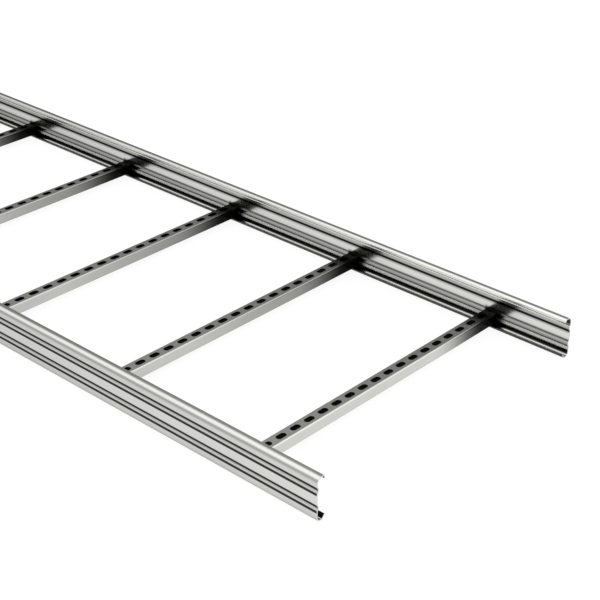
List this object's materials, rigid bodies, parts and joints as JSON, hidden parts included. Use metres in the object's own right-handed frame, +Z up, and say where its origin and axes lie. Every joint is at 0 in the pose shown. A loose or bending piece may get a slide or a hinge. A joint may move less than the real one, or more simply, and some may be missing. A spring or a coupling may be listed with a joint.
{
  "type": "cable ladder section",
  "caption": "Straight cable ladder section: two grooved, hemmed channel side rails joined by evenly spaced slotted rungs that carry cables.",
  "frame": {"origin": "the middle of the ladder's length and width, on the floor plane that the rounded bottom hems of the side rails stand on", "axes": "+X along the side rails, +Y across the ladder from the left rail to the right one, +Z up"},
  "size_m": [3, 0.5, 0.06],
  "materials": {
    "rail_steel": "bright rolled galvanised sheet steel",
    "rung_steel": "bright galvanised sheet steel"
  },
  "bodies": {
    "root": {"side_rail_left": "rail_steel", "side_rail_right": "rail_steel", "rung_01": "rung_steel", "rung_02": "rung_steel", "rung_03": "rung_steel", "rung_04": "rung_steel", "rung_05": "rung_steel", "rung_06": "rung_steel", "rung_07": "rung_steel", "rung_08": "rung_steel", "rung_09": "rung_steel", "rung_10": "rung_steel", "rung_11": "rung_steel", "rung_12": "rung_steel"}
  },
  "joints": []
}
